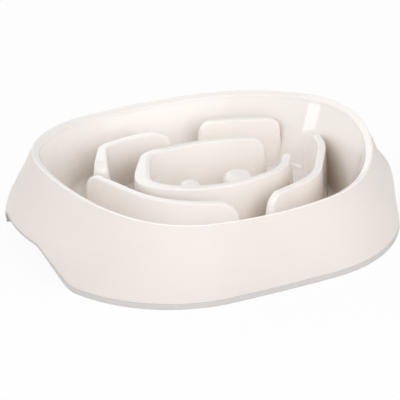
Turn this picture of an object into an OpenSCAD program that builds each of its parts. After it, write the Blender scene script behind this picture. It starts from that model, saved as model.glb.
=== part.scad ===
// Slow feeder bowl: a flared moulded bowl with a maze of hollow ridges in its well,
// a saddle-shaped rim, a finger arch at each end and a soft grip band under the skirt.
// Origin: centre of the resting face. X runs along the bowl, Y across it, Z up.

/* [Base outline] */
// Length of the foot outline
base_l = 348; // [330:1:370]
// Width of the foot outline
base_w = 301; // [290:1:312]
// Radius of the long sides at the foot
base_long_r = 1350; // [900:10:1800]
// Radius of the short sides at the foot
base_short_r = 184; // [174:1:200]
// Radius of the corners at the foot
base_corner_r = 124; // [110:1:130]

/* [Rim outline] */
// Length of the rim's outer edge
rim_l = 300; // [292:1:310]
// Width of the rim's outer edge
rim_w = 262; // [256:1:268]
// Radius of the long sides of the rim
rim_long_r = 320; // [280:5:380]
// Radius of the short sides of the rim
rim_short_r = 140; // [134:1:150]
// Radius of the corners of the rim
rim_corner_r = 98; // [90:1:104]
// Height of the rim at the ends
rim_end_h = 78.4; // [74:0.2:84]
// Height of the rim at the long sides
rim_side_h = 62.8; // [60:0.2:68]
// Height of the rim half way round the corners
rim_corner_h = 67.6; // [65:0.2:71]

/* [Skirt] */
// Wall thickness of the moulding
wall = 2.4; // [2:0.1:3]
// Power of the skirt's profile: 1 is a straight flare, more bellies it out
flare_power = 1.7; // [1.2:0.1:2.2]

/* [Finger arches] */
// Height of each finger arch at its middle
arch_h = 28; // [20:1:32]
// Half length of each finger arch
arch_half_l = 77; // [70:1:82]
// Length over which an arch rises
arch_rise_l = 48; // [40:1:60]
// How far the lip over an arch flares out
lip_flare = 6.5; // [3:0.5:9]
// Height up to which the lip keeps its whole flare
lip_full_h = 35; // [30:1:42]
// Height over which the lip's flare then fades away
lip_fade_h = 20; // [14:1:24]
// Half length of the flared lip
lip_half_l = 84; // [80:1:92]
// Length over which the lip's flare grows
lip_rise_l = 50; // [45:1:65]

/* [Rim band] */
// Width of the band that slopes into the well
band_w = 6.2; // [5:0.1:8]
// Drop of the band towards the well
band_drop = 2.9; // [2:0.1:3.2]
// Radius of the crisp outer edge
rim_edge_r = 0.6; // [0.3:0.1:1]
// Radius where the band turns down into the well
band_turn_r = 1.6; // [1:0.1:2]

/* [Well] */
// Height of the well's floor over the table
floor_h = 8; // [6:0.5:12]
// Slope of the well's wall from upright, in degrees
well_draft = 19; // [14:0.5:20]
// Radius between the well's wall and its floor
well_fillet_r = 10; // [8:0.5:12]

/* [Ridges] */
// Height of the ridges' tops over the table
ridge_top_h = 51.5; // [48:0.5:54]
// Thickness of a ridge at its top
ridge_w = 6.8; // [6.2:0.2:7.2]
// Radius along the top edges of a ridge
ridge_edge_r = 1.4; // [0.8:0.1:1.8]
// Slope of a ridge's sides from upright, in degrees
ridge_draft = 5.5; // [3:0.5:5.5]
// Slope of a ridge's ends from upright, in degrees
ridge_end_draft = 6; // [3:0.5:6]
// Radius at the foot of a ridge
ridge_foot_r = 1; // [0.5:0.1:1.2]
// Wall thickness of the hollow ridges and posts
ridge_wall = 2.2; // [1.8:0.1:2.4]

/* [Posts] */
// Height of the posts' tops over the table
post_top_h = 38; // [34:0.5:43]
// Radius of the small post below its rounded top
small_post_r = 10; // [9:0.5:11]
// Radius of the large post below its rounded top
large_post_r = 13; // [12:0.5:14]
// Radius round the top of a post
post_edge_r = 6; // [4:0.5:7]

/* [Grip band] */
// Height of the soft band at the feet
grip_h = 5.2; // [4:0.2:7]
// Height of the soft band over the finger arches
grip_arch_h = 1.6; // [1.2:0.1:2.5]
// Width of the soft band's underside
grip_w = 6.5; // [5:0.5:8]
// Radius at the bottom edge of the soft band
grip_edge_r = 0.8; // [0.4:0.1:1.2]

/* [Hidden] */

cream = [0.93, 0.90, 0.87];
grey = [0.60, 0.59, 0.58];

// Points in a quarter of each outline: short side, corner, long side
quarter_counts = [8, 12, 6];
// Points round a ridge's end, and length of a ridge for each pair of points
end_count = 6;
ridge_pitch = rim_l / 42;
// Rings up the skirt
skirt_rings = 9;
round_fn = 64;

// Ridge routes: each corner is [x, y, radius] as shares of half the rim's length,
// half its width and half its length; the first and last corner have no radius
back_ridge_shares = [[0.275, 0.669, 0], [0.48, 0.651, 0.9], [0.747, 0.48, 0]];
left_ridge_shares = [[0.058, 0.641, 0], [-0.173, 0.682, 0.8], [-0.41, 0.615, 0.13], [-0.545, 0.336, 0]];
front_ridge_shares = [[-0.633, 0.26, 0], [-0.433, -0.389, 0.6], [-0.033, -0.585, 0]];
centre_ridge_shares = [[0.525, 0.252, 0], [0.187, 0.386, 1], [-0.215, 0.366, 0.11],
                       [-0.393, -0.051, 0.13], [-0.227, -0.257, 0.4], [0.08, -0.341, 0.667],
                       [0.413, -0.265, 0.267], [0.558, -0.03, 0]];
right_ridge_shares = [[0.826, 0.21, 0], [0.831, 0.023, 0.4], [0.54, -0.463, 0.4], [0.16, -0.596, 0]];
// Radii at the top of each ridge's two ends, as shares of the ridge's height
back_end_shares = [0.23, 0.21];
left_end_shares = [0.34, 0.23];
front_end_shares = [0.28, 0.39];
centre_end_shares = [0.25, 0.18];
right_end_shares = [0.32, 0.28];
// Where a ridge is thicker on one side: [side, place, spread, width, lean]. The side is 1 for the
// right of the route's heading; place and spread are shares of the route, width of the ridge's own
no_swell_share = [1, 0, 1, 0, 0];
left_swell_share = [-1, 1, 0.3, 0.62, 0.12];
centre_swell_share = [1, 0.47, 0.12, 0.95, -0.03];
small_post_share = [-0.0785, 0.011];
large_post_share = [0.234, -0.006];

function mix(a, b, t) = a + (b - a) * t;
function ease(t) = let (c = min(max(t, 0), 1)) c * c * (3 - 2 * c);
function sum_to(v, n) = n < 0 ? 0 : v[n] + sum_to(v, n - 1);

// Outlines: each point is [x, y, normal x, normal y]
// A quarter of an outline made of a short side, a corner and a long side, each an arc
function arc_run(c, r, a0, a1, n) = [for (k = [0 : n - 1]) let (a = mix(a0, a1, k / n))
    [c[0] + r * cos(a), c[1] + r * sin(a), cos(a), sin(a)]];
function quarter(a, b, r_long, r_short, r_corner) = let (
    c_long = [0, b - r_long], c_short = [a - r_short, 0],
    d_long = r_long - r_corner, d_short = r_short - r_corner,
    gap = c_short - c_long, d = norm(gap),
    along = (d_long * d_long - d_short * d_short + d * d) / (2 * d),
    aside = sqrt(max(d_long * d_long - along * along, 0)),
    c = c_long + (gap * along + [gap[1], -gap[0]] * aside) / d,
    a_long = atan2(c[1] - c_long[1], c[0]), a_short = atan2(c[1], c[0] - c_short[0]))
    concat(arc_run(c_short, r_short, 0, a_short, quarter_counts[0]),
           arc_run(c, r_corner, a_short, a_long, quarter_counts[1]),
           arc_run(c_long, r_long, a_long, 90, quarter_counts[2]));
function outline(l, w, r_long, r_short, r_corner) = let (
    q = quarter(l / 2, w / 2, r_long, r_short, r_corner), n = len(q),
    top = [[0, w / 2, 0, 1]], side = [[-l / 2, 0, -1, 0]], low = [[0, -w / 2, 0, -1]])
    concat(q, top, [for (k = [n - 1 : -1 : 1]) [-q[k][0], q[k][1], -q[k][2], q[k][3]]],
           side, [for (k = [1 : n - 1]) [-q[k][0], -q[k][1], -q[k][2], -q[k][3]]],
           low, [for (k = [n - 1 : -1 : 1]) [q[k][0], -q[k][1], q[k][2], -q[k][3]]]);

foot = outline(base_l, base_w, base_long_r, base_short_r, base_corner_r);
rim = outline(rim_l, rim_w, rim_long_r, rim_short_r, rim_corner_r);
ring_count = len(rim);
ring = [0 : ring_count - 1];

// The rim's height follows the angle round the bowl: high at the ends, low at the sides
mid_h = (rim_end_h + rim_side_h) / 4 + rim_corner_h / 2;
saddle_h = (rim_end_h - rim_side_h) / 2;
dip_h = (rim_end_h + rim_side_h) / 4 - rim_corner_h / 2;
rim_z = [for (i = ring) let (a = atan2(rim[i][1] / rim_w, rim[i][0] / rim_l))
    mid_h + saddle_h * cos(2 * a) + dip_h * cos(4 * a)];

// Finger arches and their lips: 1 in the middle of each end, 0 elsewhere
end_share = 0.3;
arch_share = [for (i = ring) abs(foot[i][0]) < end_share * base_l ? 0 :
    ease((arch_half_l - abs(foot[i][1])) / arch_rise_l)];
lip_share = [for (i = ring) abs(foot[i][0]) < end_share * base_l ? 0 :
    ease((lip_half_l - abs(foot[i][1])) / lip_rise_l)];
arch_z = [for (i = ring) arch_h * arch_share[i]];
grip_top_z = [for (i = ring) arch_z[i] + mix(grip_h, grip_arch_h, arch_share[i])];

// Outer surface of the skirt at ring point i and height z, set in by d
function skirt_pt(i, z, d = 0) = let (
    g = pow(max(z, 0) / rim_z[i], flare_power),
    lip = lip_flare * lip_share[i] * (1 - ease((z - lip_full_h) / lip_fade_h)) * ease(z / arch_h),
    n = [mix(foot[i][2], rim[i][2], g), mix(foot[i][3], rim[i][3], g)])
    [mix(foot[i][0], rim[i][0], g) + sign(foot[i][0]) * lip - d * n[0],
     mix(foot[i][1], rim[i][1], g) - d * n[1], z];
// A point set in by d from the rim's outer edge, at height z
function rim_pt(i, z, d) = [rim[i][0] - d * rim[i][2], rim[i][1] - d * rim[i][3], z];

// Heights and offsets where the rim band meets the skirt and the well's wall
band_under_z = [for (i = ring) rim_z[i] - wall - band_drop];
band_end_z = [for (i = ring) rim_z[i] - band_drop - band_turn_r];
function well_offset(i, z) = band_w + (band_end_z[i] - z) * tan(well_draft);
fillet_z = floor_h + well_fillet_r * (1 - sin(well_draft));
floor_offset = [for (i = ring) well_offset(i, fillet_z) + well_fillet_r * cos(well_draft)];
// The turn from the wall to the floor: angles, and points at radius r from the turn's centre
fillet_steps = 4;
fillet_turns = [for (k = [0 : fillet_steps]) mix(well_draft, 90, k / fillet_steps)];
function fillet_pt(i, r, a) = rim_pt(i, floor_h + well_fillet_r - r * sin(a), floor_offset[i] - r * cos(a));

// A closed ring-shaped solid: sections[j][i] is point j of the cross-section at ring point i.
// The closing strip is split along its other diagonal, so it lies on the face of the next solid.
module ring_solid(sections) {
    m = len(sections);
    n = len(sections[0]);
    polyhedron(
        points = [for (s = sections) each s],
        faces = [for (j = [0 : m - 1], i = [0 : n - 1]) let (
            a = j * n + i, b = j * n + (i + 1) % n,
            c = ((j + 1) % m) * n + (i + 1) % n, d = ((j + 1) % m) * n + i)
            each j == m - 1 ? [[a, b, d], [b, c, d]] : [[a, b, c], [a, c, d]]],
        convexity = 8);
}

module outer_skirt() {
    color(cream)
    ring_solid(concat(
        [for (k = [0 : skirt_rings]) [for (i = ring)
            skirt_pt(i, mix(band_under_z[i], grip_top_z[i], k / skirt_rings))]],
        [for (k = [0 : skirt_rings]) [for (i = ring)
            skirt_pt(i, mix(grip_top_z[i], band_under_z[i], k / skirt_rings), wall)]]));
}

module rim_band() {
    color(cream)
    ring_solid([
        [for (i = ring) rim_pt(i, rim_z[i] - band_drop - band_turn_r * (1 - sin(45)),
            band_w - band_turn_r * (1 - cos(45)))],
        [for (i = ring) rim_pt(i, rim_z[i] - band_drop * (1 - band_turn_r / band_w), band_w - band_turn_r)],
        [for (i = ring) rim_pt(i, rim_z[i] - band_drop * rim_edge_r / band_w, rim_edge_r)],
        [for (i = ring) rim_pt(i, rim_z[i] - rim_edge_r * (1 - sin(45)), rim_edge_r * (1 - cos(45)))],
        [for (i = ring) skirt_pt(i, rim_z[i] - rim_edge_r)],
        [for (i = ring) skirt_pt(i, band_under_z[i])],
        [for (i = ring) skirt_pt(i, band_under_z[i], wall)],
        [for (i = ring) rim_pt(i, band_end_z[i], band_w - wall)],
        [for (i = ring) rim_pt(i, band_end_z[i], band_w)]]);
}

module well_wall() {
    color(cream)
    ring_solid(concat(
        [[for (i = ring) rim_pt(i, band_end_z[i], band_w - wall)]],
        [for (a = fillet_turns) [for (i = ring) fillet_pt(i, well_fillet_r + wall, a)]],
        [for (k = [fillet_steps : -1 : 0]) [for (i = ring) fillet_pt(i, well_fillet_r, fillet_turns[k])]],
        [[for (i = ring) rim_pt(i, band_end_z[i], band_w)]]));
}

// The space inside the well, bounded by the wall's own facets: what stands on the wall is cut to it
module well_space() {
    rows = concat(
        [[for (i = ring) rim_pt(i, 0, floor_offset[i])]],
        [for (k = [fillet_steps : -1 : 0]) [for (i = ring) fillet_pt(i, well_fillet_r, fillet_turns[k])]],
        [for (z = [band_end_z, [for (i = ring) rim_end_h]]) [for (i = ring) rim_pt(i, z[i], band_w)]]);
    last = (len(rows) - 1) * ring_count;
    polyhedron(
        points = [for (s = rows) each s],
        faces = concat(side_faces(0, len(rows), ring_count, false),
            [[for (i = ring) i]], [[for (i = ring) last + ring_count - 1 - i]]),
        convexity = 4);
}

// Ridge routes: a list of runs, each [start, heading, length, turn per length]
function corner_pts(shares) = [for (s = shares) [s[0] * rim_l / 2, s[1] * rim_w / 2]];
function headings(p) = [for (k = [0 : len(p) - 2]) atan2(p[k + 1][1] - p[k][1], p[k + 1][0] - p[k][0])];
function turn_of(h, k) = let (t = h[k] - h[k - 1]) t > 180 ? t - 360 : t < -180 ? t + 360 : t;
function route(shares) = let (
    p = corner_pts(shares), h = headings(p), last = len(p) - 1,
    turn = [for (k = [0 : last]) k == 0 || k == last ? 0 : turn_of(h, k)],
    r = [for (s = shares) s[2] * rim_l / 2],
    cut = [for (k = [0 : last]) r[k] * tan(abs(turn[k]) / 2)])
    [for (k = [0 : last - 1]) each concat(
        k == 0 ? [] : [[p[k] - cut[k] * [cos(h[k - 1]), sin(h[k - 1])], h[k - 1],
                        r[k] * abs(turn[k]) * PI / 180, sign(turn[k]) / r[k]]],
        [[p[k] + cut[k] * [cos(h[k]), sin(h[k])], h[k], norm(p[k + 1] - p[k]) - cut[k] - cut[k + 1], 0]])];
function route_l(runs) = sum_to([for (u = runs) u[2]], len(runs) - 1);
// Place on a route at length s: [x, y, heading]
function on_run(u, s) = let (h = u[1] + u[3] * s * 180 / PI)
    u[3] == 0 ? [u[0][0] + s * cos(h), u[0][1] + s * sin(h), h] :
    [u[0][0] + (sin(h) - sin(u[1])) / u[3], u[0][1] - (cos(h) - cos(u[1])) / u[3], h];
function on_route(runs, s, k = 0) = s <= runs[k][2] || k == len(runs) - 1 ? on_run(runs[k], s) :
    on_route(runs, s - runs[k][2], k + 1);

// Extra thickness of a ridge at height z and at a share t of its route, on the given side
function swell_w(swell, side, z, t) = side != swell[0] ? 0 :
    (swell[3] * ridge_w + swell[4] * (ridge_top_h - z)) * exp(-pow((t - swell[1]) / swell[2], 2));

// A closed loop round a route at height z: w is its half width, trim what its ends give up
function end_arc(q, heading, w, wa, wb, z) = [for (k = [1 : end_count - 1]) let (
    a = -90 + 180 * k / end_count, across = (wa + wb) / 2 * sin(a) - (wa - wb) / 2)
    [q[0] + w * cos(a) * cos(heading) - across * sin(heading),
     q[1] + w * cos(a) * sin(heading) + across * cos(heading), z]];
function beside(q, w, z) = [q[0] + w * sin(q[2]), q[1] - w * cos(q[2]), z];
function loop(runs, n, z, w, trim, swell) = let (
    l = route_l(runs),
    s = [for (k = [0 : n - 1]) mix(trim[0] + w, l - trim[1] - w, k / (n - 1))],
    at = [for (k = [0 : n - 1]) on_route(runs, s[k])],
    w_right = [for (k = [0 : n - 1]) w + swell_w(swell, 1, z, s[k] / l)],
    w_left = [for (k = [0 : n - 1]) w + swell_w(swell, -1, z, s[k] / l)],
    start = at[0], end = at[n - 1])
    concat([for (k = [0 : n - 1]) beside(at[k], w_right[k], z)],
           end_arc(end, end[2], w, w_right[n - 1], w_left[n - 1], z),
           [for (k = [n - 1 : -1 : 0]) beside(at[k], -w_left[k], z)],
           end_arc(start, start[2] + 180, w, w_left[0], w_right[0], z));

// Half width and end trim of a ridge at height z, for its outside (inset 0) or its hollow
function half_w(z, inset) = let (top = ridge_top_h - inset, r = max(ridge_edge_r - inset, 0))
    ridge_w / 2 - inset + (top - z) * tan(ridge_draft)
    - (z > top - r ? r - sqrt(max(r * r - pow(z - top + r, 2), 0)) : 0);
function end_trim(z, r, inset) = let (top = ridge_top_h - inset)
    inset - (top - z) * tan(ridge_end_draft)
    + (z > top - r ? r - sqrt(max(r * r - pow(z - top + r, 2), 0)) : 0);
function ridge_loop(runs, n, z, ends, swell, inset, foot = 0) = loop(runs, n, z,
    half_w(z, inset) + foot, [for (r = ends) end_trim(z, r, inset) - foot], swell);

// Heights of a ridge's loops: the foot's fillet, the side, the rounded ends and the rounded top
function levels(top, r, angles) = [for (a = angles) top - r * (1 - sin(a))];

module ridge(shares, end_shares, swell = no_swell_share) {
    runs = route(shares);
    n = ceil(route_l(runs) / ridge_pitch);
    ends = [for (s = end_shares) s * (ridge_top_h - floor_h)];
    hollow_ends = [for (r = ends) r - ridge_wall];
    hollow_top = ridge_top_h - ridge_wall;
    outside = concat(
        [for (a = [0, 45]) ridge_loop(runs, n, floor_h + ridge_foot_r * (1 - cos(a)), ends, swell, 0,
            ridge_foot_r * (1 - sin(a)))],
        [ridge_loop(runs, n, floor_h + ridge_foot_r, ends, swell, 0)],
        [for (z = levels(ridge_top_h, max(ends), [0, 30, 45])) ridge_loop(runs, n, z, ends, swell, 0)],
        [for (z = levels(ridge_top_h, ridge_edge_r, [0, 45, 90])) ridge_loop(runs, n, z, ends, swell, 0)]);
    inside = concat(
        [ridge_loop(runs, n, floor_h, hollow_ends, swell, ridge_wall)],
        [for (z = levels(hollow_top, max(hollow_ends), [0, 40, 90]))
            ridge_loop(runs, n, z, hollow_ends, swell, ridge_wall)]);
    shell_solid(outside, inside, n);
}

// A ridge whose end runs into the well's wall
module in_well() {
    intersection() {
        children();
        well_space();
    }
}

// A shell open below: loops up the outside, a cap, loops up the inside and a cap under the first
module shell_solid(outside, inside, n) {
    m = len(outside[0]);
    mo = len(outside);
    mi = len(inside);
    first_in = mo * m;
    polyhedron(
        points = [for (s = concat(outside, inside)) each s],
        faces = concat(
            side_faces(0, mo, m, false), side_faces(first_in, mi, m, true),
            cap_faces((mo - 1) * m, n, m, false), cap_faces(first_in + (mi - 1) * m, n, m, true),
            [for (i = [0 : m - 1]) let (j = (i + 1) % m)
                each [[i, j, first_in + j], [i, first_in + j, first_in + i]]]),
        convexity = 8);
}
function flip(f, on) = on ? [for (k = [len(f) - 1 : -1 : 0]) f[k]] : f;
function side_faces(first, rows, m, on) = [for (j = [0 : rows - 2], i = [0 : m - 1]) let (
    a = first + j * m + i, b = first + j * m + (i + 1) % m, c = b + m, d = a + m)
    each [flip([a, c, b], on), flip([a, d, c], on)]];
// The cap joins the two long sides of a loop across the ridge, with a fan at each end
function cap_faces(first, n, m, on) = let (across = 2 * n + end_count - 2)
    concat([for (k = [0 : n - 2]) let (a = first + k, b = a + 1, c = first + across - k - 1, d = c + 1)
                each [flip([a, c, b], on), flip([a, d, c], on)]],
           [for (k = [n - 1 : n + end_count - 3])
                flip([first + k, first + n + end_count - 1, first + k + 1], on)],
           [for (k = [across + 1 : m - 2]) flip([first + across, first + k + 1, first + k], on)],
           [flip([first + across, first, first + m - 1], on)]);

module back_ridge() color(cream) in_well() ridge(back_ridge_shares, back_end_shares);
module left_ridge() color(cream) ridge(left_ridge_shares, left_end_shares, left_swell_share);
module front_ridge() color(cream) ridge(front_ridge_shares, front_end_shares);
module centre_ridge() color(cream) ridge(centre_ridge_shares, centre_end_shares, centre_swell_share);
module right_ridge() color(cream) in_well() ridge(right_ridge_shares, right_end_shares);

// A hollow round post: its side leans in and its top edge is rounded
function post_profile(r, z0, top, edge, inset) = let (
    lean = tan(ridge_draft), shoulder = top - edge)
    concat([[0, z0], [r - inset + (shoulder - z0) * lean, z0]],
           [for (a = [0 : 15 : 90])
                [r - edge + (edge - inset) * cos(a), shoulder + (edge - inset) * sin(a)]],
           [[0, top - inset]]);
module post(r, place_share) {
    translate([place_share[0] * rim_l / 2, place_share[1] * rim_w / 2, 0])
    rotate_extrude($fn = round_fn)
    difference() {
        polygon(post_profile(r, floor_h, post_top_h, post_edge_r, 0));
        polygon(post_profile(r, floor_h, post_top_h, post_edge_r, ridge_wall));
    }
}
module small_post() color(cream) post(small_post_r, small_post_share);
module large_post() color(cream) post(large_post_r, large_post_share);

// Floor plate, open under each hollow ridge and post
module ridge_slot(shares, end_shares, swell = no_swell_share) {
    runs = route(shares);
    n = ceil(route_l(runs) / ridge_pitch);
    hollow_ends = [for (s = end_shares) s * (ridge_top_h - floor_h) - ridge_wall];
    polygon([for (q = ridge_loop(runs, n, floor_h, hollow_ends, swell, ridge_wall)) [q[0], q[1]]]);
}
module post_slot(r, place_share) {
    translate([place_share[0] * rim_l / 2, place_share[1] * rim_w / 2])
    circle(r = r - ridge_wall + (post_top_h - post_edge_r - floor_h) * tan(ridge_draft), $fn = round_fn);
}
module well_floor() {
    color(cream)
    translate([0, 0, floor_h - wall])
    linear_extrude(wall)
    difference() {
        polygon([for (i = ring) let (q = rim_pt(i, 0, floor_offset[i])) [q[0], q[1]]]);
        ridge_slot(back_ridge_shares, back_end_shares);
        ridge_slot(left_ridge_shares, left_end_shares, left_swell_share);
        ridge_slot(front_ridge_shares, front_end_shares);
        ridge_slot(centre_ridge_shares, centre_end_shares, centre_swell_share);
        ridge_slot(right_ridge_shares, right_end_shares);
        post_slot(small_post_r, small_post_share);
        post_slot(large_post_r, large_post_share);
    }
}

module grip_band() {
    color(grey)
    ring_solid([
        [for (i = ring) skirt_pt(i, grip_top_z[i])],
        [for (i = ring) skirt_pt(i, arch_z[i] + grip_edge_r)],
        [for (i = ring) skirt_pt(i, arch_z[i], grip_edge_r)],
        [for (i = ring) skirt_pt(i, arch_z[i], grip_w)],
        [for (i = ring) skirt_pt(i, mix(arch_z[i], grip_top_z[i], 0.5), grip_w)],
        [for (i = ring) skirt_pt(i, grip_top_z[i], wall)]]);
}

outer_skirt();
rim_band();
well_wall();
well_floor();
back_ridge();
left_ridge();
front_ridge();
centre_ridge();
right_ridge();
small_post();
large_post();
grip_band();
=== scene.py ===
"""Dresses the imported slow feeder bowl: smooth shells over the CAD nodes, moulded plastic and soft
grip materials, and a white studio. All shapes are worked out from sizes in millimetres and built
in metres."""
import math

import bpy
import numpy as np
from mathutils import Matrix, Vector


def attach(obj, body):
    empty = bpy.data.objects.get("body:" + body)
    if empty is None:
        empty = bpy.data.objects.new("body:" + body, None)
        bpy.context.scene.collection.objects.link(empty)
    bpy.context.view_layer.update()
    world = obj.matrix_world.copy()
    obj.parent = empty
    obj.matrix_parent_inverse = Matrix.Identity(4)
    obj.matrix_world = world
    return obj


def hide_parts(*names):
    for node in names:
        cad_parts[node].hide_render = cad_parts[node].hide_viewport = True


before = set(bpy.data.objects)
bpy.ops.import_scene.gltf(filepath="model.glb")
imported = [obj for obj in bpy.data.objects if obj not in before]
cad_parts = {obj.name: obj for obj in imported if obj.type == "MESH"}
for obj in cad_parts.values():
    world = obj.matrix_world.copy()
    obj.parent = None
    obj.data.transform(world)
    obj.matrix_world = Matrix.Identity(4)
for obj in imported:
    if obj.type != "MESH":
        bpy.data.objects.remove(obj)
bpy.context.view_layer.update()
MM = 0.001

# Sizes in millimetres and slopes in degrees from upright, as in the CAD source
BASE = dict(l=348, w=301, long_r=1350, short_r=184, corner_r=124)
RIM = dict(l=300, w=262, long_r=320, short_r=140, corner_r=98)
RIM_END_H, RIM_SIDE_H, RIM_CORNER_H = 78.4, 62.8, 67.6
WALL = 2.4
FLARE_POWER = 1.7
ARCH_H, ARCH_HALF_L, ARCH_RISE_L = 28, 77, 48
LIP_FLARE, LIP_FULL_H, LIP_FADE_H, LIP_HALF_L, LIP_RISE_L = 6.5, 35, 20, 84, 50
BAND_W, BAND_DROP, BAND_TURN_R = 6.2, 2.9, 1.6
RIM_EDGE_R = 0.6
FLOOR_H, WELL_DRAFT, WELL_FILLET_R = 8, 19, 10
RIDGE_TOP_H, RIDGE_W, RIDGE_EDGE_R = 51.5, 6.8, 1.4
RIDGE_DRAFT, RIDGE_END_DRAFT = 5.5, 6
RIDGE_FOOT_R, RIDGE_WALL = 1.0, 2.2
POST_TOP_H, POST_EDGE_R = 38, 6
GRIP_H, GRIP_ARCH_H, GRIP_W, GRIP_EDGE_R = 5.2, 1.6, 6.5, 0.8
# Arches and lips are only at the ends: beyond this share of the foot's length from its middle
END_SHARE = 0.3

# Each ridge: its route's corners as (x, y, radius) in shares of half the rim's length, half its
# width and half its length; its two ends' top radii as shares of its height; and where it is
# thicker on one side, as (side, place, spread, width, lean). The side is 1 for the right of the
# route's heading, place and spread are shares of the route, width is a share of the ridge's own,
# and lean is how much more there is for each millimetre below the top.
RIDGES = {
    "back_ridge": (
        [(0.275, 0.669, 0), (0.48, 0.651, 0.9), (0.747, 0.48, 0)],
        (0.23, 0.21), None),
    "left_ridge": (
        [(0.058, 0.641, 0), (-0.173, 0.682, 0.8), (-0.41, 0.615, 0.13), (-0.545, 0.336, 0)],
        (0.34, 0.23), (-1, 1, 0.3, 0.62, 0.12)),
    "front_ridge": (
        [(-0.633, 0.26, 0), (-0.433, -0.389, 0.6), (-0.033, -0.585, 0)],
        (0.28, 0.39), None),
    "centre_ridge": (
        [(0.525, 0.252, 0), (0.187, 0.386, 1), (-0.215, 0.366, 0.11), (-0.393, -0.051, 0.13),
         (-0.227, -0.257, 0.4), (0.08, -0.341, 0.667), (0.413, -0.265, 0.267), (0.558, -0.03, 0)],
        (0.25, 0.18), (1, 0.47, 0.12, 0.95, -0.03)),
    "right_ridge": (
        [(0.826, 0.21, 0), (0.831, 0.023, 0.4), (0.54, -0.463, 0.4), (0.16, -0.596, 0)],
        (0.32, 0.28), None),
}
# Each post: its place in shares of half the rim's length and width, and its radius
POSTS = {"small_post": ((-0.0785, 0.011), 10), "large_post": ((0.234, -0.006), 13)}

# How finely the shells are stepped: points on a quarter's short side, corner and long side, then
# rows of points over each surface or edge, and points round a post
QUARTER_COUNTS = (26, 40, 24)
SKIRT_ROWS, WELL_ROWS, BAND_ROWS = 40, 28, 6
EDGE_ROWS, LIP_ROWS, TURN_ROWS, FOOT_ROWS = 6, 4, 8, 6
FILLET_ROWS, UNDERSIDE_ROWS = 16, 12
RIDGE_SIDE_ROWS, RIDGE_END_ROWS, RIDGE_EDGE_ROWS, RIDGE_INSIDE_ROWS = 6, 40, 10, 8
POST_SIDE_ROWS, POST_EDGE_ROWS, POST_COUNT = 10, 14, 96
# An edge between two faces at a wider angle than this, in degrees, is sharp
SHARP_ANGLE, RIM_SHARP_ANGLE = 50, 40


def outline(l, w, long_r, short_r, corner_r):
    """Points and outward normals round an outline. Each quarter is half a short side, a corner and
    half a long side, all arcs that run smoothly into one another."""
    half_l, half_w = l / 2, w / 2
    long_c, short_c = np.array([0, half_w - long_r]), np.array([half_l - short_r, 0])
    to_long, to_short = long_r - corner_r, short_r - corner_r
    gap = short_c - long_c
    d = np.hypot(*gap)
    along = (to_long ** 2 - to_short ** 2 + d ** 2) / (2 * d)
    aside = math.sqrt(max(to_long ** 2 - along ** 2, 0))
    corner_c = long_c + (gap * along + np.array([gap[1], -gap[0]]) * aside) / d
    long_turn = math.atan2(corner_c[1] - long_c[1], corner_c[0])
    short_turn = math.atan2(corner_c[1], corner_c[0] - short_c[0])
    runs = [(short_c, short_r, 0, short_turn), (corner_c, corner_r, short_turn, long_turn),
            (long_c, long_r, long_turn, math.pi / 2)]
    quarter = []
    for (centre, r, t0, t1), n in zip(runs, QUARTER_COUNTS):
        for t in t0 + (t1 - t0) * np.arange(n) / n:
            x, y = math.cos(t), math.sin(t)
            quarter.append((centre[0] + r * x, centre[1] + r * y, x, y))
    quarter = np.array(quarter)
    flip_x, flip_y = np.array([-1, 1, -1, 1]), np.array([1, -1, 1, -1])
    return np.vstack([quarter, [[0, half_w, 0, 1]], quarter[:0:-1] * flip_x,
                      [[-half_l, 0, -1, 0]], quarter[1:] * flip_x * flip_y,
                      [[0, -half_w, 0, -1]], quarter[:0:-1] * flip_y])


def ease(t):
    """Rises smoothly from 0 at t = 0 to 1 at t = 1, and stays level on both sides."""
    c = np.clip(t, 0, 1)
    return c * c * (3 - 2 * c)


def end_share(half_l, rise_l):
    """How much of an end's form each ring point has: all in the end's middle, none past half_l."""
    at_end = np.abs(foot[:, 0]) >= END_SHARE * BASE["l"]
    return np.where(at_end, ease((half_l - np.abs(foot[:, 1])) / rise_l), 0)


# The ring that all outer surfaces share: its points at the foot and at the rim, with their normals
foot, rim = outline(**BASE), outline(**RIM)
turn = np.arctan2(rim[:, 1] / RIM["w"], rim[:, 0] / RIM["l"])
half_mean_h = (RIM_END_H + RIM_SIDE_H) / 4
saddle_h = (RIM_END_H - RIM_SIDE_H) / 2
rim_z = (half_mean_h + RIM_CORNER_H / 2 + saddle_h * np.cos(2 * turn)
         + (half_mean_h - RIM_CORNER_H / 2) * np.cos(4 * turn))
arch_share = end_share(ARCH_HALF_L, ARCH_RISE_L)
lip_share = end_share(LIP_HALF_L, LIP_RISE_L)
arch_z = ARCH_H * arch_share
grip_top_z = arch_z + GRIP_H + (GRIP_ARCH_H - GRIP_H) * arch_share

# Where the rim's band meets the skirt and the well, and where the well's wall meets its fillet
band_under_z = rim_z - WALL - BAND_DROP
band_end_z = rim_z - BAND_DROP - BAND_TURN_R
well_slope = math.radians(WELL_DRAFT)
fillet_z = FLOOR_H + WELL_FILLET_R * (1 - math.sin(well_slope))
fillet_offset = BAND_W + (band_end_z - fillet_z) * math.tan(well_slope)
fillet_in = fillet_offset + WELL_FILLET_R * math.cos(well_slope)


def skirt_points(z, inset=0.0):
    """Outer surface of the skirt at each ring point, at heights z, set in by inset."""
    z = np.broadcast_to(z, rim_z.shape)
    g = (np.maximum(z, 0) / rim_z) ** FLARE_POWER
    lip = LIP_FLARE * lip_share * (1 - ease((z - LIP_FULL_H) / LIP_FADE_H)) * ease(z / ARCH_H)
    n = foot[:, 2:] + (rim[:, 2:] - foot[:, 2:]) * g[:, None]
    p = foot[:, :2] + (rim[:, :2] - foot[:, :2]) * g[:, None] - inset * n
    p[:, 0] += np.sign(foot[:, 0]) * lip
    return np.column_stack([p, z])


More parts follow.
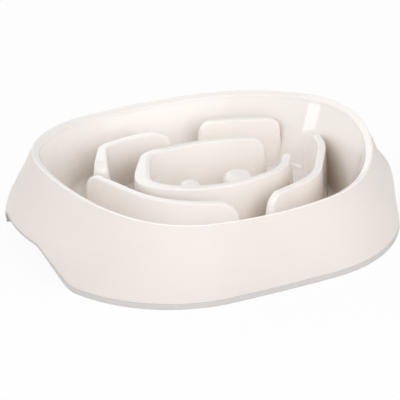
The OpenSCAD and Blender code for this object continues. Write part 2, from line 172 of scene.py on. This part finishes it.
def rim_points(z, inset):
    """Points set in from the rim's outer edge by inset, at heights z."""
    z, inset = np.broadcast_to(z, rim_z.shape), np.broadcast_to(inset, rim_z.shape)
    return np.column_stack([rim[:, :2] - inset[:, None] * rim[:, 2:], z])


def arc(n, a0, a1):
    """n angles from a0 to a1 degrees, in radians."""
    return np.radians(np.linspace(a0, a1, n))


def rounding(r, n, a0, a1=90):
    """Steps round an edge of radius r from a0 to a1 degrees. Each is a pair of distances: from the
    face that the turn would reach at 90 degrees, and from the one that it leaves at 0."""
    return [(r * (1 - math.sin(a)), r * (1 - math.cos(a))) for a in arc(n, a0, a1)]


def mesh_object(name, verts, faces, angle):
    """A smooth mesh with sharp edges past angle, from points in millimetres."""
    mesh = bpy.data.meshes.new(name)
    mesh.from_pydata([tuple(v * MM) for v in verts], [], faces)
    mesh.validate()
    mesh.shade_smooth()
    mesh.set_sharp_from_angle(angle=math.radians(angle))
    obj = bpy.data.objects.new(name, mesh)
    bpy.context.scene.collection.objects.link(obj)
    return obj


def join_loops(here, there, n):
    """Faces that join the loop of n points from index here on to the one from there on."""
    return [(here + i, here + (i + 1) % n, there + (i + 1) % n, there + i) for i in range(n)]


def ring_loft(name, sections, angle):
    """Closed ring-shaped solid: each section is a loop of points round the bowl, and they come in
    order round its cross-section. A face starts at its second point, because that sets which of
    its diagonals it is split along."""
    m, n = len(sections), len(sections[0])
    faces = [f[1:] + f[:1] for j in range(m) for f in join_loops(j * n, (j + 1) % m * n, n)]
    return mesh_object(name, np.vstack(sections), faces, angle)


def make_skirt():
    """The outer wall: down its outside, round its lower edge, up its inside and out to the rim."""
    lip_r = 0.5
    rim_inset, rim_drop = 0.5, 0.2
    low_z, high_z = grip_top_z + lip_r, rim_z - RIM_EDGE_R
    rows = np.linspace(0, 1, SKIRT_ROWS)
    s = [skirt_points(high_z * (1 - t) + low_z * t) for t in rows]
    s += [skirt_points(grip_top_z + up, inset)
          for up, inset in rounding(lip_r, LIP_ROWS, a0=22)]
    s += [skirt_points(grip_top_z * (1 - t) + band_under_z * t, WALL) for t in rows]
    s += [skirt_points(band_under_z, WALL / 2), skirt_points(high_z - rim_drop, rim_inset)]
    return ring_loft("bowl_skirt", s, SHARP_ANGLE)


def make_rim_and_well():
    """The crisp rim, its band, the well's wall and the fillet to the floor, then back up under
    them. Below the rim's edge it runs just inside the skirt's outer face."""
    lap, lap_drop = 0.4, 0.1
    edge_gap, under_gap = 0.5, 0.3
    edge_z = rim_z - RIM_EDGE_R
    s = [rim_points(band_end_z, BAND_W - WALL)]
    s += [skirt_points(band_under_z, WALL), skirt_points(band_under_z, lap)]
    s += [skirt_points(edge_z - lap_drop, lap), skirt_points(edge_z)]
    s += [rim_points(rim_z - down, inset)
          for down, inset in rounding(RIM_EDGE_R, EDGE_ROWS, a0=15)]
    band_start, band_stop = RIM_EDGE_R + edge_gap, BAND_W - BAND_TURN_R
    s += [rim_points(rim_z - BAND_DROP * t / BAND_W, t)
          for t in np.linspace(band_start, band_stop, BAND_ROWS)]
    turn_z = rim_z - BAND_DROP * (1 - BAND_TURN_R / BAND_W)
    turn_h = BAND_TURN_R + BAND_DROP * BAND_TURN_R / BAND_W
    s += [rim_points(turn_z - turn_h * (1 - math.cos(a)),
                     BAND_W - BAND_TURN_R * (1 - math.sin(a)))
          for a in arc(TURN_ROWS, 10, 90)]
    s += [rim_points(band_end_z + (fillet_z - band_end_z) * t,
                     BAND_W + (fillet_offset - BAND_W) * t)
          for t in np.linspace(0, 1, WELL_ROWS)[1:-1]]
    s += [rim_points(FLOOR_H + WELL_FILLET_R * (1 - math.sin(a)),
                     fillet_in - WELL_FILLET_R * math.cos(a))
          for a in arc(FILLET_ROWS, WELL_DRAFT, 90)]
    under_r = WELL_FILLET_R + WALL - under_gap
    s += [rim_points(FLOOR_H + WELL_FILLET_R - under_r * math.sin(a),
                     fillet_in - under_r * math.cos(a))
          for a in arc(UNDERSIDE_ROWS, 90, WELL_DRAFT)]
    return ring_loft("rim_and_well", s[::-1], RIM_SHARP_ANGLE)


def make_grip():
    """The soft band: a small groove under the skirt, its outside, its rounded lower edge, its
    underside and its inside."""
    groove, heel = 0.3, 0.5
    edge_z = arch_z + GRIP_EDGE_R
    s = [skirt_points(grip_top_z, WALL), skirt_points(grip_top_z, groove)]
    s += [skirt_points(grip_top_z - groove, 0)]
    first_share = 0.1
    s += [skirt_points(grip_top_z + (edge_z - grip_top_z) * t)
          for t in np.linspace(first_share, 1, EDGE_ROWS)]
    s += [skirt_points(arch_z + up, inset)
          for up, inset in rounding(GRIP_EDGE_R, EDGE_ROWS, a0=15)]
    s += [skirt_points(arch_z, GRIP_W - heel), skirt_points(arch_z + heel, GRIP_W)]
    s += [skirt_points((arch_z + grip_top_z) / 2, GRIP_W)]
    return ring_loft("soft_grip_band", s, SHARP_ANGLE)


# A ridge's route runs on past both of its ends by this much, so that a wider foot has a place
RUN_ON = 12
# Steps along a route in millimetres: in its bends, over the whole of it, and between the points
# of a loop
BEND_STEP, ROUTE_STEP, LOOP_STEP = 0.5, 0.25, 1.6
# A heading is the average over this many neighbours on each side
SMOOTH_REACH = 4
# Steps round a ridge's end
END_COUNT = 16


def unit(v):
    """A vector, or each row of an array of them, at length 1."""
    return v / np.hypot(v[..., 0], v[..., 1])[..., None]


def sample(at, s, rows):
    """The rows, which lie at the distances s, read at the distances at."""
    return np.column_stack([np.interp(at, s, column) for column in rows.T])


def route(shares):
    """A ridge's route: straight runs joined by arcs, run on straight at both ends. Gives dense
    distances from the route's start, the points there and their headings."""
    corners = [np.array([x * RIM["l"] / 2, y * RIM["w"] / 2]) for x, y, _ in shares]
    for end, near in ((0, 1), (-1, -2)):
        step = corners[end] - corners[near]
        corners[end] = corners[end] + step * RUN_ON / np.hypot(*step)
    pts = [corners[0]]
    for before, at, after, (_, _, r_share) in zip(corners, corners[1:], corners[2:], shares[1:]):
        u, v = unit(at - before), unit(after - at)
        bend = math.atan2(u[0] * v[1] - u[1] * v[0], u @ v)
        r = r_share * RIM["l"] / 2
        side = np.array([-u[1], u[0]]) * math.copysign(1, bend)
        centre = at - u * r * math.tan(abs(bend) / 2) + side * r
        x, y = -side * r
        for q in np.linspace(0, bend, max(3, int(abs(bend) * r / BEND_STEP))):
            c, s = math.cos(q), math.sin(q)
            pts.append(centre + np.array([x * c - y * s, x * s + y * c]))
    pts = np.array(pts + [corners[-1]])
    way = np.r_[0, np.cumsum(np.hypot(*(pts[1:] - pts[:-1]).T))]
    fine = np.arange(0, way[-1], ROUTE_STEP)
    xy = sample(fine, way, pts)
    window = 2 * SMOOTH_REACH + 1
    kernel = np.ones(window) / window
    steps = np.pad(np.gradient(xy, axis=0), ((SMOOTH_REACH, SMOOTH_REACH), (0, 0)), mode="edge")
    heading = np.column_stack([np.convolve(column, kernel, "valid") for column in steps.T])
    return fine - RUN_ON, xy, unit(heading)


def loop(path, n, z, w, trim, swell):
    """A closed loop round a route at height z: w is its half width, trim what its ends give up."""
    way, xy, heading = path
    length = way[-1] - RUN_ON
    at = np.linspace(trim[0] + w, length - trim[1] - w, n)
    c = sample(at, way, xy)
    t = unit(sample(at, way, heading))
    right = np.column_stack([t[:, 1], -t[:, 0]])
    w_right, w_left = np.full(n, w), np.full(n, w)
    if swell:
        side, place, spread, width, lean = swell
        bell = np.exp(-((at / length - place) / spread) ** 2)
        more = (width * RIDGE_W + lean * (RIDGE_TOP_H - z)) * bell
        if side > 0:
            w_right = w_right + more
        else:
            w_left = w_left + more
    # Each end is half an ellipse, from wa out on one side of the route to wb out on the other
    a = np.radians(-90 + 180 * np.arange(1, END_COUNT) / END_COUNT)[:, None]
    caps = [c[k] + out * w * np.cos(a) + across * ((wa - wb) / 2 - (wa + wb) / 2 * np.sin(a))
            for k, out, across, wa, wb in ((-1, t[-1], right[-1], w_right[-1], w_left[-1]),
                                           (0, -t[0], -right[0], w_left[0], w_right[0]))]
    right_side, left_side = c + w_right[:, None] * right, c - w_left[:, None] * right
    flat = np.vstack([right_side, caps[0], left_side[::-1], caps[1]])
    return np.column_stack([flat, np.full(len(flat), z)])


def cap(first, n, m):
    """Closes a loop of m points from index first on, with n along each side of the ridge: a strip
    between its long sides and a strip in each round end."""
    across = 2 * n + END_COUNT - 2
    faces = [(first + k, first + k + 1, first + across - k - 1, first + across - k)
             for k in range(n - 1)]
    for low, high in ((n - 1, n + END_COUNT - 1), (across, across + END_COUNT)):
        while high - low > 2:
            faces.append(tuple(first + k % m for k in (low, low + 1, high - 1, high)))
            low, high = low + 1, high - 1
        if high - low == 2:
            faces.append(tuple(first + k % m for k in (low, low + 1, high)))
    return faces


def rounded_off(z, top, r):
    """How far a top edge of radius r has drawn in at height z."""
    if z <= top - r:
        return 0
    return r - math.sqrt(max(r * r - (z - top + r) ** 2, 0))


def ridge_heights(end_r):
    """Heights of the loops above the foot: even, then closer round the ends and the top edge."""
    low = FLOOR_H + RIDGE_FOOT_R
    edge_reach = RIDGE_EDGE_R * 1.05
    z = [low + (RIDGE_TOP_H - end_r - low) * t for t in np.linspace(0, 1, RIDGE_SIDE_ROWS)]
    z += [RIDGE_TOP_H - down for down, _ in rounding(end_r, RIDGE_END_ROWS, a0=0)[1:]
          if down > edge_reach]
    z += [RIDGE_TOP_H - down for down, _ in rounding(RIDGE_EDGE_R, RIDGE_EDGE_ROWS, a0=0)]
    return z


def make_ridge(name):
    """A ridge as a hollow shell, open below: loops down its inside and up its outside, with a cap
    at the top of each."""
    shares, end_shares, swell = RIDGES[name]
    path = route(shares)
    n = int(path[0][-1] / LOOP_STEP)
    lean, end_lean = (math.tan(math.radians(a)) for a in (RIDGE_DRAFT, RIDGE_END_DRAFT))
    end_radii = [e * (RIDGE_TOP_H - FLOOR_H) for e in end_shares]

    def level(z, inset, foot_w=0.0):
        top = RIDGE_TOP_H - inset
        w = RIDGE_W / 2 - inset + (top - z) * lean
        w -= rounded_off(z, top, max(RIDGE_EDGE_R - inset, 0))
        trim = [inset - (top - z) * end_lean + rounded_off(z, top, r - inset) - foot_w
                for r in end_radii]
        return loop(path, n, z, w + foot_w, trim, swell)

    outside = [level(FLOOR_H + up, 0, out)
               for out, up in rounding(RIDGE_FOOT_R, FOOT_ROWS, a0=0, a1=75)]
    outside += [level(z, 0) for z in ridge_heights(max(end_radii))]
    inner_top, ceiling_edge = RIDGE_TOP_H - RIDGE_WALL, 0.3
    inside_z = np.linspace(FLOOR_H, inner_top - ceiling_edge, RIDGE_INSIDE_ROWS)
    inside = [level(z, RIDGE_WALL) for z in [*inside_z, inner_top]]
    loops = inside[::-1] + outside
    m, last = len(loops[0]), len(loops) - 1
    faces = [f for j in range(last) for f in join_loops(j * m, (j + 1) * m, m)]
    faces += [f[::-1] for f in cap(0, n, m)] + cap(last * m, n, m)
    return mesh_object(name + "_shell", np.vstack(loops), faces, SHARP_ANGLE)


def make_post(name):
    """A post as a hollow shell, open below: a profile up its outside and down its inside, turned
    round its axis, with a cap at the top of each."""
    (x_share, y_share), radius = POSTS[name]
    cx, cy = x_share * RIM["l"] / 2, y_share * RIM["w"] / 2
    lean = math.tan(math.radians(RIDGE_DRAFT))
    shoulder = POST_TOP_H - POST_EDGE_R
    foot_w = radius + (shoulder - FLOOR_H) * lean
    flat_r = radius - POST_EDGE_R
    foot_gap, flat_share, centre_share = 1, 0.3, 0.12
    profile = [(foot_w - RIDGE_WALL, FLOOR_H)]
    profile += [(foot_w + out, FLOOR_H + up)
                for out, up in rounding(RIDGE_FOOT_R, FOOT_ROWS, a0=0, a1=80)]
    profile += [(radius + (shoulder - z) * lean, z)
                for z in np.linspace(FLOOR_H + RIDGE_FOOT_R + foot_gap, shoulder, POST_SIDE_ROWS)]
    profile += [(flat_r + POST_EDGE_R * math.cos(a), shoulder + POST_EDGE_R * math.sin(a))
                for a in arc(POST_EDGE_ROWS, 4, 90)]
    profile += [(radius * share, POST_TOP_H) for share in (flat_share, centre_share)]
    last_outside = len(profile) - 1
    inner_top = POST_TOP_H - RIDGE_WALL
    profile += [(radius * centre_share, inner_top), (flat_r, inner_top),
                (radius - RIDGE_WALL, shoulder)]
    n = POST_COUNT
    a = 2 * math.pi * np.arange(n) / n
    verts = [np.column_stack([cx + r * np.cos(a), cy + r * np.sin(a), np.full(n, z)])
             for r, z in profile]
    faces = []
    for j in range(len(profile)):
        if j != last_outside:
            faces += join_loops(j * n, (j + 1) % len(profile) * n, n)
    top, inner = last_outside * n, (last_outside + 1) * n
    faces += [tuple(range(top, top + n)), tuple(range(inner + n - 1, inner - 1, -1))]
    return mesh_object(name + "_shell", np.vstack(verts), faces, SHARP_ANGLE)


# Materials
PLASTIC_IOR = 1.56
# Noise scales are for coordinates in metres
TINT_NOISE = {"Scale": 9.0, "Detail": 3.0}
PATCH_NOISE = {"Scale": 30.0}
GRAIN_DETAIL = 4.0
# The part of a noise's range that is stretched over the whole tint or gloss
NOISE_LOW, NOISE_HIGH = 0.3, 0.7
TINT_DARKEST, TINT_LIGHTEST = 0.985, 1.012
# Painted shade for the channels: how far occlusion looks, in metres, and the openness up to
# which the painted shade is full and from which there is none
SHADE_REACH, SHADE_RANGE, SHADE_SAMPLES = 0.06, (0.11, 0.34), 8
# A colour Mix node's sockets, which have to be taken by number
MIX_FACTOR, MIX_A, MIX_B, MIX_RESULT = 0, 6, 7, 2

CREAM = (0.9, 0.87, 0.85)
PALE_CREAM = (0.99, 0.97, 0.955)
# Painted shade: the colour that the gloss plastic darkens to in its channels and corners
PAINTED_SHADE_CREAM = (0.775, 0.72, 0.66)
SOFT_GREY = (0.80, 0.79, 0.785)


def srgb(*rgb):
    """A colour as it shows on a screen, turned into the linear one that Blender takes."""
    return tuple(c / 12.92 if c <= 0.04045 else ((c + 0.055) / 1.055) ** 2.4 for c in rgb) + (1.0,)


def add_node(tree, kind, values=None):
    """A new node with the given values on its input sockets."""
    node = tree.nodes.new(kind)
    for socket, value in (values or {}).items():
        node.inputs[socket].default_value = value
    return node


def empty_tree(owner):
    """The owner's node tree, with nothing in it yet."""
    owner.use_nodes = True
    owner.node_tree.nodes.clear()
    return owner.node_tree


def plastic(name, colour, rough, rough_spread, grain_scale, bump_mm, bump_strength, painted_shade=None):
    """Moulded plastic with a faint tint, patchy gloss and a fine grain. Its optional shade colour
    is painted shade, mixed in deep in the channels where occlusion finds the surface closed in."""
    mat = bpy.data.materials.new(name)
    nt = empty_tree(mat)
    link = nt.links.new
    out = add_node(nt, "ShaderNodeOutputMaterial")
    bsdf = add_node(nt, "ShaderNodeBsdfPrincipled", {"IOR": PLASTIC_IOR})
    link(bsdf.outputs[0], out.inputs[0])
    coord = add_node(nt, "ShaderNodeTexCoord").outputs["Object"]

    tint = add_node(nt, "ShaderNodeTexNoise", TINT_NOISE)
    ramp = add_node(nt, "ShaderNodeValToRGB")
    dark, light = ramp.color_ramp.elements
    dark.position, light.position = NOISE_LOW, NOISE_HIGH
    dark.color = srgb(*[c * TINT_DARKEST for c in colour])
    light.color = srgb(*[min(c * TINT_LIGHTEST, 1) for c in colour])
    link(coord, tint.inputs["Vector"])
    link(tint.outputs["Fac"], ramp.inputs["Fac"])
    tone = ramp.outputs["Color"]
    # Painted shade: darker towards the shade colour where occlusion finds the surface closed in
    if painted_shade:
        depth = add_node(nt, "ShaderNodeAmbientOcclusion", {"Distance": SHADE_REACH})
        depth.samples = SHADE_SAMPLES
        fade = add_node(nt, "ShaderNodeMapRange",
                        {"From Min": SHADE_RANGE[0], "From Max": SHADE_RANGE[1]})
        fade.interpolation_type = "SMOOTHSTEP"
        blend = add_node(nt, "ShaderNodeMix", {MIX_A: srgb(*painted_shade)})
        blend.data_type = "RGBA"
        link(depth.outputs["AO"], fade.inputs["Value"])
        link(fade.outputs["Result"], blend.inputs[MIX_FACTOR])
        link(tone, blend.inputs[MIX_B])
        tone = blend.outputs[MIX_RESULT]
    link(tone, bsdf.inputs["Base Color"])

    patch = add_node(nt, "ShaderNodeTexNoise", PATCH_NOISE)
    span = add_node(nt, "ShaderNodeMapRange", {
        "From Min": NOISE_LOW, "From Max": NOISE_HIGH,
        "To Min": rough - rough_spread, "To Max": rough + rough_spread})
    link(coord, patch.inputs["Vector"])
    link(patch.outputs["Fac"], span.inputs["Value"])
    link(span.outputs["Result"], bsdf.inputs["Roughness"])

    grain = add_node(nt, "ShaderNodeTexNoise", {"Scale": grain_scale, "Detail": GRAIN_DETAIL})
    bump = add_node(nt, "ShaderNodeBump", {"Strength": bump_strength, "Distance": bump_mm * MM})
    link(coord, grain.inputs["Vector"])
    link(grain.outputs["Fac"], bump.inputs["Height"])
    link(bump.outputs["Normal"], bsdf.inputs["Normal"])
    return mat


# The gloss plastic carries painted shade, darkest in the channels between ridges and walls
gloss = plastic("moulded_gloss", PALE_CREAM, rough=0.035, rough_spread=0.01, grain_scale=120.0,
                bump_mm=0.02, bump_strength=0.04, painted_shade=PAINTED_SHADE_CREAM)
matte = plastic("moulded_matte", CREAM, rough=0.5, rough_spread=0.04, grain_scale=2600.0,
                bump_mm=0.04, bump_strength=0.5)
grip = plastic("soft_grip", SOFT_GREY, rough=0.62, rough_spread=0.05, grain_scale=1800.0,
               bump_mm=0.05, bump_strength=0.5)


# Dressing: each shell stands for the nodes that it covers, and the floor keeps its own mesh
def dress(obj, material, slot, *nodes):
    obj.data.materials.append(material)
    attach(obj, "root")
    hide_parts(*nodes)


dress(make_skirt(), matte, "bowl_matte", "outer_skirt")
dress(make_rim_and_well(), gloss, "bowl_gloss", "rim_band", "well_wall")
dress(make_grip(), grip, "soft_grip", "grip_band")
for ridge_name in RIDGES:
    dress(make_ridge(ridge_name), gloss, "bowl_gloss", ridge_name)
for post_name in POSTS:
    dress(make_post(post_name), gloss, "bowl_gloss", post_name)
floor_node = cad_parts["well_floor"]
floor_node.data.materials.clear()
floor_node.data.materials.append(gloss)

# Studio: lengths in metres, angles in degrees
scene = bpy.context.scene
GROUND_HALF, GROUND_COLOUR, GROUND_SEEN = 4, (0.9, 0.9, 0.9, 1), 0.93
SKY_COLOUR, SKY_LOW, SKY_HIGH = (1, 0.99, 0.98, 1), 0.8, 0.46
WHITE_STRENGTH = 1.0
LAMP_DISTANCE, LAMP_TARGET = 1.6, (0, 0, 0.05)
# Each lamp: azimuth from +X, elevation, width, height and radiance
LAMPS = {
    "front_box": (-85, 20, 2.0, 0.9, 1.0),
    "high_box": (-100, 38, 1.6, 0.6, 1.95),
    "left_box": (152, 16, 0.3, 0.8, 2.6),
    "side_box": (-165, 32, 0.8, 0.7, 1.5),
    "back_box": (95, 30, 1.6, 0.8, 0.9),
}
# The camera's azimuth is from -Y, and negative to its left. Lens and sensor are in millimetres.
CAMERA_AZIMUTH, CAMERA_ELEVATION = -26.78, 25.93
CAMERA_DISTANCE, CAMERA_TARGET = 1.599, (-0.0027, 0, 0.019)
CAMERA_LENS, CAMERA_SENSOR = 161.8, 36
CAMERA_CLIP = (0.05, 50)


def seen_rays(tree):
    """1 for rays from the camera, and for those that gloss or clear material sends on, which see
    the white backdrop."""
    rays = tree.nodes.new("ShaderNodeLightPath")
    total = rays.outputs["Is Camera Ray"]
    for other in ("Is Glossy Ray", "Is Transmission Ray"):
        either = tree.nodes.new("ShaderNodeMath")
        either.operation = "MAXIMUM"
        tree.links.new(total, either.inputs[0])
        tree.links.new(rays.outputs[other], either.inputs[1])
        total = either.outputs[0]
    return total


def mix_to_output(tree, share, lit, seen, output):
    """Ends a tree with a mix of the shaders lit and seen, where share is how much of seen."""
    mix = add_node(tree, "ShaderNodeMixShader")
    for k, source in enumerate((share, lit.outputs[0], seen.outputs[0])):
        tree.links.new(source, mix.inputs[k])
    tree.links.new(mix.outputs[0], add_node(tree, output).inputs[0])


def make_ground():
    """A pale floor that takes the bowl's shadow and shows almost white."""
    h = GROUND_HALF
    mesh = bpy.data.meshes.new("ground")
    mesh.from_pydata([(-h, -h, 0), (h, -h, 0), (h, h, 0), (-h, h, 0)], [], [(0, 1, 2, 3)])
    ground = bpy.data.objects.new("ground", mesh)
    scene.collection.objects.link(ground)
    mat = bpy.data.materials.new("ground")
    nt = empty_tree(mat)
    lit = add_node(nt, "ShaderNodeBsdfDiffuse", {"Color": GROUND_COLOUR})
    seen = add_node(nt, "ShaderNodeEmission", {"Strength": WHITE_STRENGTH})
    share = add_node(nt, "ShaderNodeMath", {1: GROUND_SEEN})
    share.operation = "MULTIPLY"
    nt.links.new(seen_rays(nt), share.inputs[0])
    mix_to_output(nt, share.outputs[0], lit, seen, "ShaderNodeOutputMaterial")
    ground.data.materials.append(mat)


def make_world():
    """A pale world, white where it is seen, that lights the bowl less from above than from the
    horizon."""
    world = bpy.data.worlds.new("studio")
    scene.world = world
    wt = empty_tree(world)
    coord = add_node(wt, "ShaderNodeTexCoord")
    split = add_node(wt, "ShaderNodeSeparateXYZ")
    fade = add_node(wt, "ShaderNodeMapRange", {"To Min": SKY_LOW, "To Max": SKY_HIGH})
    lit = add_node(wt, "ShaderNodeBackground", {"Color": SKY_COLOUR})
    seen = add_node(wt, "ShaderNodeBackground", {"Strength": WHITE_STRENGTH})
    wt.links.new(coord.outputs["Generated"], split.inputs[0])
    wt.links.new(split.outputs["Z"], fade.inputs["Value"])
    wt.links.new(fade.outputs["Result"], lit.inputs["Strength"])
    mix_to_output(wt, seen_rays(wt), lit, seen, "ShaderNodeOutputWorld")


def direction(azimuth, elevation):
    """The direction at an azimuth from +X and an elevation, in degrees."""
    a, e = math.radians(azimuth), math.radians(elevation)
    return Vector((math.cos(a) * math.cos(e), math.sin(a) * math.cos(e), math.sin(e)))


def face(name, data, target, away, distance):
    """A lamp or camera that faces a target, at a distance from it in the direction away."""
    obj = bpy.data.objects.new(name, data)
    obj.location = Vector(target) + away * distance
    obj.rotation_mode = "QUATERNION"
    obj.rotation_quaternion = away.to_track_quat("Z", "Y")
    scene.collection.objects.link(obj)
    return obj


def softbox(name, azimuth, elevation, width, height, radiance):
    """A rectangular area lamp that faces the bowl."""
    light = bpy.data.lights.new(name, "AREA")
    light.shape = "RECTANGLE"
    light.size, light.size_y = width, height
    # A flat lamp's power is pi times its radiance and its area
    light.energy = radiance * math.pi * width * height
    face(name, light, LAMP_TARGET, direction(azimuth, elevation), LAMP_DISTANCE)


make_ground()
make_world()
for lamp_name, lamp in LAMPS.items():
    softbox(lamp_name, *lamp)

camera = bpy.data.cameras.new("camera")
camera.sensor_width, camera.lens = CAMERA_SENSOR, CAMERA_LENS
camera.clip_start, camera.clip_end = CAMERA_CLIP
scene.camera = face("camera", camera, CAMERA_TARGET,
                    direction(CAMERA_AZIMUTH - 90, CAMERA_ELEVATION), CAMERA_DISTANCE)
scene.view_settings.view_transform = "Standard"
